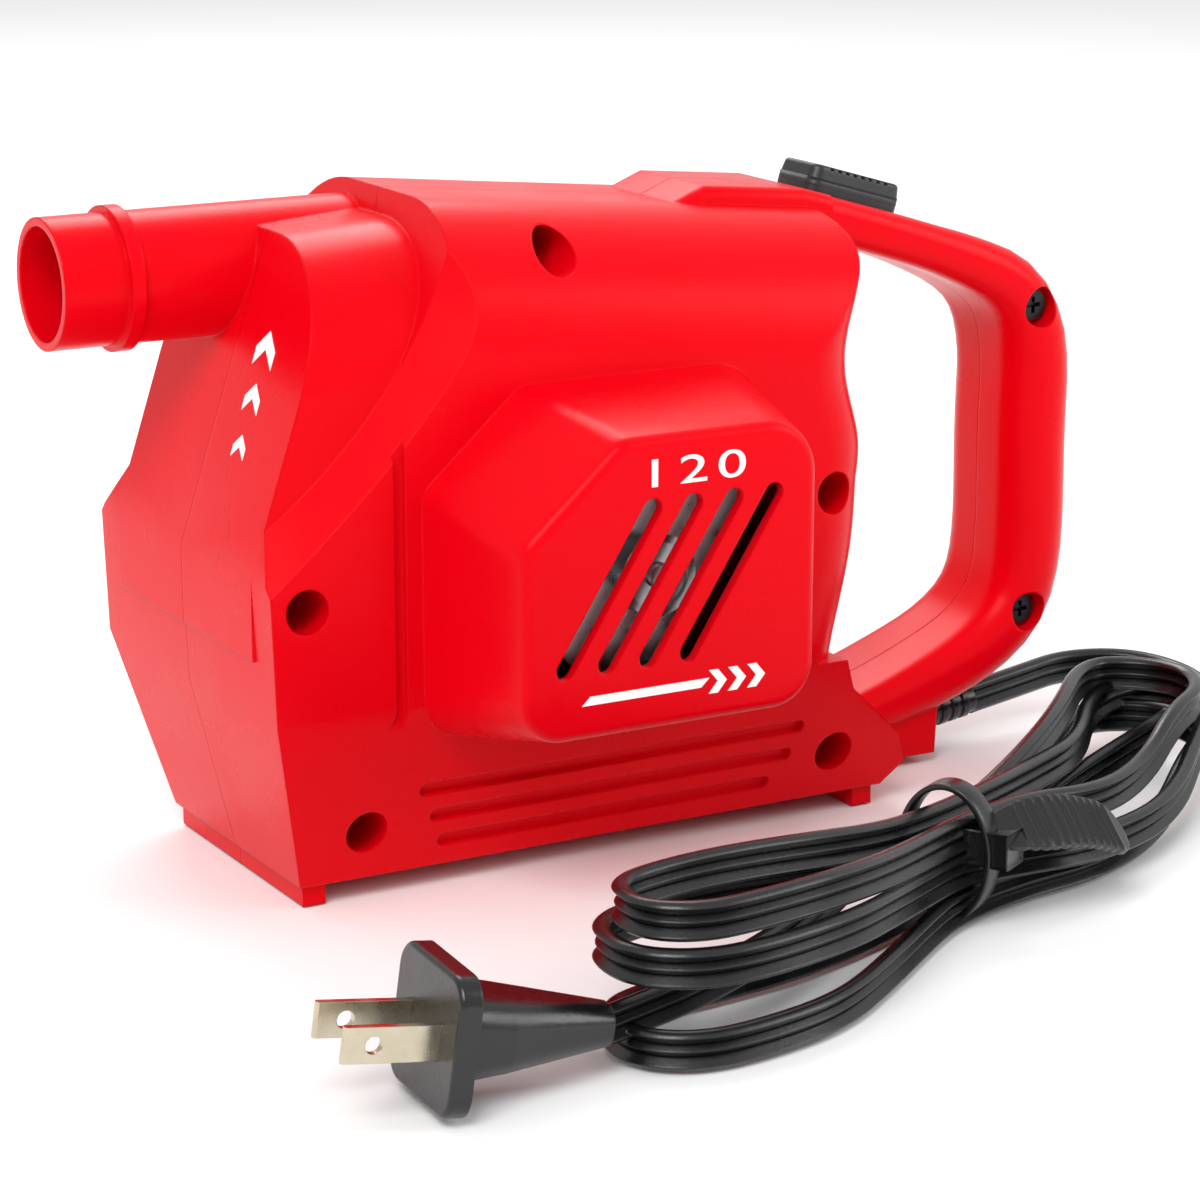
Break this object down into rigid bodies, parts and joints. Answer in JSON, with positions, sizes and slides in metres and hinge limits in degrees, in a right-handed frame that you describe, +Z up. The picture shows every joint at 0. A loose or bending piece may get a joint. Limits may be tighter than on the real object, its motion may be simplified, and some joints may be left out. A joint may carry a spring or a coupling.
{
  "type": "electric air mattress pump",
  "caption": "Mains hand pump for inflating air beds: moulded casing with side motor cover, outlet nozzle, intake port, loop handle, slide switch and corded plug.",
  "frame": {"origin": "centre of the pump's footprint box at the floor, without the cord and plug", "axes": "+Z up, +X from the nozzle towards the handle, +Y from the motor cover towards the intake port"},
  "size_m": [0.2724, 0.1922, 0.135],
  "materials": {
    "casing_red": "satin gloss moulded",
    "black_plastic": "fine matte",
    "cord_black": "soft satin",
    "inner_plastic": "moulded",
    "steel": "turned",
    "screw_steel": "zinc plated",
    "core_steel": "laminated",
    "copper": "enamelled wire",
    "brass": "stamped",
    "blade_metal": "plated",
    "carbon": "sintered"
  },
  "bodies": {
    "housing": {"motor_side_shell": "casing_red", "fan_side_shell": "casing_red", "strain_relief": "black_plastic", "plug_body": "black_plastic", "intake_grille": "black_plastic", "cord_lead": "cord_black", "cord_hank": "cord_black", "plug_lead": "cord_black", "cord_tie": "cord_black", "fan_housing": "inner_plastic", "motor_plate": "inner_plastic", "switch_body": "inner_plastic", "front_bearing": "steel", "rear_bearing": "steel", "front_bracket": "steel", "rear_bracket": "steel", "motor_spacers": "steel", "motor_screws": "screw_steel", "plate_screws": "screw_steel", "housing_screws": "screw_steel", "brush_springs": "screw_steel", "stator_core": "core_steel", "field_coils": "copper", "brush_holders": "brass", "switch_terminals": "brass", "plug_blades": "blade_metal", "carbon_brushes": "carbon"},
    "rotor": {"motor_shaft": "steel", "armature_core": "core_steel", "armature_windings": "copper", "commutator": "copper", "cooling_fan": "inner_plastic", "impeller": "inner_plastic", "impeller_nut": "steel"},
    "button": {"switch_button": "black_plastic", "switch_slider": "inner_plastic"}
  },
  "joints": [
    {"name": "rotor_spin", "type": "hinge", "parent": "housing", "child": "rotor", "pos_m": [-0.02325, -0.01885, 0.0677], "axis": [0, 1, 0], "continuous": true},
    {"name": "button_slide", "type": "slide", "parent": "housing", "child": "button", "axis": [-0.9593, 0, 0.2823], "range_m": [0, 0.005]}
  ]
}
